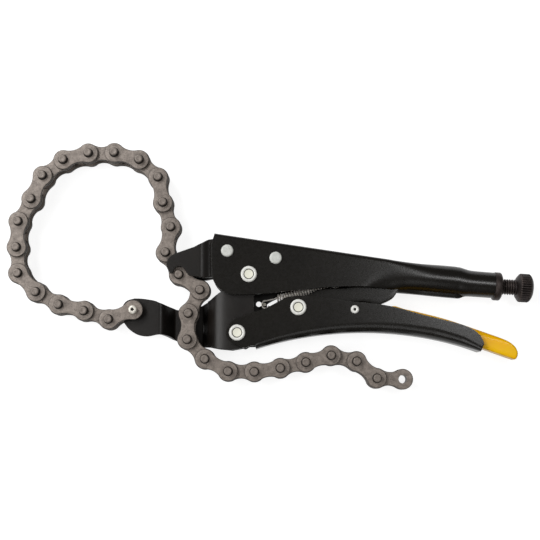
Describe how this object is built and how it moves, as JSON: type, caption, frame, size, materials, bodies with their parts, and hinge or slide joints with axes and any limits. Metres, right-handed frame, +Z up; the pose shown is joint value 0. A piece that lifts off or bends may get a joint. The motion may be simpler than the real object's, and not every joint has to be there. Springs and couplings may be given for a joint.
{
  "type": "locking chain pliers",
  "caption": "Locking chain pliers: a roller chain wraps round a pipe, hooks in a forked upper jaw, and a toggle between two black handles clamps it.",
  "frame": {"origin": "on the axis of the jaw pivot, on the surface that the tool lies on", "axes": "+X from the chain loop to the adjusting knob, +Y from the lower handle to the upper one, +Z up from the surface"},
  "size_m": [0.3211, 0.1511, 0.0204],
  "materials": {
    "handle_paint": "semi-gloss black enamel on pressed steel sheet",
    "jaw_paint": "satin black enamel on pressed steel plate",
    "black_oxide": "blackened steel, lightly oiled",
    "rivet_steel": "plated steel rivet, satin",
    "spacer_steel": "plain turned steel",
    "lever_steel": "pressed steel under the sleeve",
    "spring_steel": "drawn spring wire, bright",
    "vinyl": "dipped soft vinyl, semi-gloss yellow",
    "chain_steel": "phosphated dark steel with bright worn edges"
  },
  "bodies": {
    "upper_handle": {"upper_handle": "handle_paint", "hook_plate_front": "jaw_paint", "hook_plate_rear": "jaw_paint", "hook_rivets": "rivet_steel", "hook_spacers": "spacer_steel", "jaw_pivot_rivet": "rivet_steel", "thread_collar": "black_oxide", "spring_post": "spacer_steel", "return_spring": "spring_steel"},
    "lower_jaw": {"lower_jaw_front": "jaw_paint", "lower_jaw_rear": "jaw_paint", "jaw_spacer": "spacer_steel", "handle_pivot_rivet": "rivet_steel", "handle_spacer": "spacer_steel", "spring_hook_pin": "spacer_steel", "anchor_washers": "spacer_steel"},
    "lower_handle": {"lower_handle": "handle_paint", "toggle_rivet": "rivet_steel", "lever_rivet": "rivet_steel", "lever_washers": "spacer_steel"},
    "toggle_link": {"toggle_link": "black_oxide"},
    "release_lever": {"release_lever": "lever_steel", "lever_sleeve": "vinyl"},
    "adjusting_screw": {"adjusting_screw": "black_oxide"},
    "chain_link_01": {"chain_link_01": "chain_steel"},
    "chain_link_02": {"chain_link_02": "chain_steel"},
    "chain_link_03": {"chain_link_03": "chain_steel"},
    "chain_link_04": {"chain_link_04": "chain_steel"},
    "chain_link_05": {"chain_link_05": "chain_steel"},
    "chain_link_06": {"chain_link_06": "chain_steel"},
    "chain_link_07": {"chain_link_07": "chain_steel"},
    "chain_link_08": {"chain_link_08": "chain_steel"},
    "chain_link_09": {"chain_link_09": "chain_steel"},
    "chain_link_10": {"chain_link_10": "chain_steel"},
    "chain_link_11": {"chain_link_11": "chain_steel"},
    "chain_link_12": {"chain_link_12": "chain_steel"},
    "chain_link_13": {"chain_link_13": "chain_steel"},
    "chain_link_14": {"chain_link_14": "chain_steel"},
    "chain_link_15": {"chain_link_15": "chain_steel"},
    "chain_link_16": {"chain_link_16": "chain_steel"},
    "chain_link_17": {"chain_link_17": "chain_steel"},
    "chain_link_18": {"chain_link_18": "chain_steel"},
    "chain_link_19": {"chain_link_19": "chain_steel"},
    "chain_link_20": {"chain_link_20": "chain_steel"},
    "chain_link_21": {"chain_link_21": "chain_steel"},
    "chain_link_22": {"chain_link_22": "chain_steel"},
    "chain_link_23": {"chain_link_23": "chain_steel"},
    "chain_link_24": {"chain_link_24": "chain_steel"},
    "chain_link_25": {"chain_link_25": "chain_steel"},
    "chain_link_26": {"chain_link_26": "chain_steel"},
    "chain_link_27": {"chain_link_27": "chain_steel"},
    "chain_link_28": {"chain_link_28": "chain_steel"},
    "chain_link_29": {"chain_link_29": "chain_steel"},
    "chain_link_30": {"chain_link_30": "chain_steel"}
  },
  "joints": [
    {"name": "handle_pivot", "type": "hinge", "parent": "lower_jaw", "child": "lower_handle", "pos_m": [-0.007, -0.0354, 0.0102], "axis": [0, 0, -1], "range_deg": [0, 30]},
    {"name": "jaw_pivot", "type": "hinge", "parent": "upper_handle", "child": "lower_jaw", "pos_m": [0, 0, 0.0102], "axis": [0, 0, 1], "range_deg": [0, 4], "deforming": ["return_spring"]},
    {"name": "toggle_pivot", "type": "hinge", "parent": "lower_handle", "child": "toggle_link", "pos_m": [0.0299, -0.0201, 0.0102], "axis": [0, 0, 1], "range_deg": [0, 45]},
    {"name": "release_lever_pivot", "type": "hinge", "parent": "lower_handle", "child": "release_lever", "pos_m": [0.064, -0.0214, 0.0102], "axis": [0, 0, 1], "range_deg": [0, 8]},
    {"name": "screw_travel", "type": "slide", "parent": "upper_handle", "child": "adjusting_screw", "axis": [0.9981, -0.061, 0], "range_m": [0, 0.012]},
    {"name": "chain_hinge_01", "type": "hinge", "parent": "lower_jaw", "child": "chain_link_01", "pos_m": [-0.0702, -0.0214, 0.0102], "axis": [0, 0, -1], "range_deg": [-7.4, 7.4]},
    {"name": "chain_hinge_02", "type": "hinge", "parent": "chain_link_01", "child": "chain_link_02", "pos_m": [-0.08502, -0.02709, 0.0102], "axis": [0, 0, -1], "range_deg": [-8.2, 8.2]},
    {"name": "chain_hinge_03", "type": "hinge", "parent": "chain_link_02", "child": "chain_link_03", "pos_m": [-0.10003, -0.02192, 0.0102], "axis": [0, 0, -1], "range_deg": [-6.6, 6.6]},
    {"name": "chain_hinge_04", "type": "hinge", "parent": "chain_link_03", "child": "chain_link_04", "pos_m": [-0.11543, -0.01808, 0.0102], "axis": [0, 0, -1], "range_deg": [-2.1, 2.1]},
    {"name": "chain_hinge_05", "type": "hinge", "parent": "chain_link_04", "child": "chain_link_05", "pos_m": [-0.12932, -0.01038, 0.0102], "axis": [0, 0, -1], "range_deg": [-3.1, 3.1]},
    {"name": "chain_hinge_06", "type": "hinge", "parent": "chain_link_05", "child": "chain_link_06", "pos_m": [-0.14035, 0.00104, 0.0102], "axis": [0, 0, -1], "range_deg": [-5.8, 5.8]},
    {"name": "chain_hinge_07", "type": "hinge", "parent": "chain_link_06", "child": "chain_link_07", "pos_m": [-0.14145, 0.01687, 0.0102], "axis": [0, 0, -1], "range_deg": [-6, 6]},
    {"name": "chain_hinge_08", "type": "hinge", "parent": "chain_link_07", "child": "chain_link_08", "pos_m": [-0.14062, 0.03273, 0.0102], "axis": [0, 0, -1], "range_deg": [-6, 6]},
    {"name": "chain_hinge_09", "type": "hinge", "parent": "chain_link_08", "child": "chain_link_09", "pos_m": [-0.13293, 0.04661, 0.0102], "axis": [0, 0, -1], "range_deg": [-4.8, 4.8]},
    {"name": "chain_hinge_10", "type": "hinge", "parent": "chain_link_09", "child": "chain_link_10", "pos_m": [-0.12622, 0.061, 0.0102], "axis": [0, 0, -1], "range_deg": [-2.2, 2.2]},
    {"name": "chain_hinge_11", "type": "hinge", "parent": "chain_link_10", "child": "chain_link_11", "pos_m": [-0.11371, 0.07077, 0.0102], "axis": [0, 0, -1], "range_deg": [-10, 10]},
    {"name": "chain_hinge_12", "type": "hinge", "parent": "chain_link_11", "child": "chain_link_12", "pos_m": [-0.09837, 0.07488, 0.0102], "axis": [0, 0, -1], "range_deg": [-10, 10]},
    {"name": "chain_hinge_13", "type": "hinge", "parent": "chain_link_12", "child": "chain_link_13", "pos_m": [-0.0825, 0.07516, 0.0102], "axis": [0, 0, -1], "range_deg": [-3.2, 3.2]},
    {"name": "chain_hinge_14", "type": "hinge", "parent": "chain_link_13", "child": "chain_link_14", "pos_m": [-0.06724, 0.07078, 0.0102], "axis": [0, 0, -1], "range_deg": [-2, 2]},
    {"name": "chain_hinge_15", "type": "hinge", "parent": "chain_link_14", "child": "chain_link_15", "pos_m": [-0.05563, 0.05995, 0.0102], "axis": [0, 0, -1], "range_deg": [-2.8, 2.8]},
    {"name": "chain_hinge_16", "type": "hinge", "parent": "chain_link_15", "child": "chain_link_16", "pos_m": [-0.0526, 0.04437, 0.0102], "axis": [0, 0, -1], "range_deg": [-3.7, 3.7]},
    {"name": "chain_hinge_17", "type": "hinge", "parent": "chain_link_16", "child": "chain_link_17", "pos_m": [-0.0477, 0.02927, 0.0102], "axis": [0, 0, -1], "range_deg": [-7.2, 7.2]},
    {"name": "chain_hinge_18", "type": "hinge", "parent": "chain_link_17", "child": "chain_link_18", "pos_m": [-0.05073, 0.01369, 0.0102], "axis": [0, 0, -1], "range_deg": [-7.1, 7.1]},
    {"name": "chain_hinge_19", "type": "hinge", "parent": "lower_jaw", "child": "chain_link_19", "pos_m": [-0.04255, 0.00008, 0.0102], "axis": [0, 0, -1], "range_deg": [0, 2]},
    {"name": "chain_hinge_20", "type": "hinge", "parent": "chain_link_19", "child": "chain_link_20", "pos_m": [-0.02971, -0.00925, 0.0102], "axis": [0, 0, -1], "range_deg": [0, 2]},
    {"name": "chain_hinge_21", "type": "hinge", "parent": "chain_link_20", "child": "chain_link_21", "pos_m": [-0.03667, -0.02352, 0.0102], "axis": [0, 0, -1], "range_deg": [0, 6]},
    {"name": "chain_hinge_22", "type": "hinge", "parent": "chain_link_21", "child": "chain_link_22", "pos_m": [-0.03722, -0.03938, 0.0102], "axis": [0, 0, 1], "range_deg": [-10, 0]},
    {"name": "chain_hinge_23", "type": "hinge", "parent": "chain_link_22", "child": "chain_link_23", "pos_m": [-0.0266, -0.05118, 0.0102], "axis": [0, 0, 1], "range_deg": [-10, 0]},
    {"name": "chain_hinge_24", "type": "hinge", "parent": "chain_link_23", "child": "chain_link_24", "pos_m": [-0.01258, -0.05863, 0.0102], "axis": [0, 0, 1], "range_deg": [-10, 0]},
    {"name": "chain_hinge_25", "type": "hinge", "parent": "chain_link_24", "child": "chain_link_25", "pos_m": [0.00329, -0.05891, 0.0102], "axis": [0, 0, 1], "range_deg": [-30, 4]},
    {"name": "chain_hinge_26", "type": "hinge", "parent": "chain_link_25", "child": "chain_link_26", "pos_m": [0.01901, -0.0567, 0.0102], "axis": [0, 0, -1], "range_deg": [-8, 30]},
    {"name": "chain_hinge_27", "type": "hinge", "parent": "chain_link_26", "child": "chain_link_27", "pos_m": [0.03448, -0.05313, 0.0102], "axis": [0, 0, 1], "range_deg": [-35, 14]},
    {"name": "chain_hinge_28", "type": "hinge", "parent": "chain_link_27", "child": "chain_link_28", "pos_m": [0.04982, -0.04902, 0.0102], "axis": [0, 0, -1], "range_deg": [-20, 35]},
    {"name": "chain_hinge_29", "type": "hinge", "parent": "chain_link_28", "child": "chain_link_29", "pos_m": [0.06528, -0.05259, 0.0102], "axis": [0, 0, 1], "range_deg": [-40, 30]},
    {"name": "chain_hinge_30", "type": "hinge", "parent": "chain_link_29", "child": "chain_link_30", "pos_m": [0.07744, -0.0628, 0.0102], "axis": [0, 0, -1], "range_deg": [-60, 60]}
  ],
  "couplings": [
    {"joint": "jaw_pivot", "follows": "handle_pivot", "ratio": 0.13333},
    {"joint": "toggle_pivot", "follows": "handle_pivot", "ratio": 1.5},
    {"joint": "chain_hinge_01", "follows": "chain_hinge_12", "ratio": 0.73847},
    {"joint": "chain_hinge_02", "follows": "chain_hinge_12", "ratio": 0.81814},
    {"joint": "chain_hinge_03", "follows": "chain_hinge_12", "ratio": 0.6509},
    {"joint": "chain_hinge_04", "follows": "chain_hinge_12", "ratio": 0.20794},
    {"joint": "chain_hinge_05", "follows": "chain_hinge_12", "ratio": -0.30989},
    {"joint": "chain_hinge_06", "follows": "chain_hinge_12", "ratio": -0.57857},
    {"joint": "chain_hinge_07", "follows": "chain_hinge_12", "ratio": -0.59293},
    {"joint": "chain_hinge_08", "follows": "chain_hinge_12", "ratio": -0.59767},
    {"joint": "chain_hinge_09", "follows": "chain_hinge_12", "ratio": -0.47315},
    {"joint": "chain_hinge_10", "follows": "chain_hinge_12", "ratio": 0.21333},
    {"joint": "chain_hinge_11", "follows": "chain_hinge_12", "ratio": 1},
    {"joint": "chain_hinge_13", "follows": "chain_hinge_12", "ratio": 0.3115},
    {"joint": "chain_hinge_14", "follows": "chain_hinge_12", "ratio": -0.19437},
    {"joint": "chain_hinge_15", "follows": "chain_hinge_12", "ratio": -0.27026},
    {"joint": "chain_hinge_16", "follows": "chain_hinge_12", "ratio": -0.3694},
    {"joint": "chain_hinge_17", "follows": "chain_hinge_12", "ratio": -0.71946},
    {"joint": "chain_hinge_18", "follows": "chain_hinge_12", "ratio": -0.70563},
    {"joint": "chain_hinge_22", "follows": "handle_pivot", "ratio": -0.33333},
    {"joint": "chain_hinge_23", "follows": "handle_pivot", "ratio": -0.33333},
    {"joint": "chain_hinge_24", "follows": "handle_pivot", "ratio": -0.33333}
  ]
}
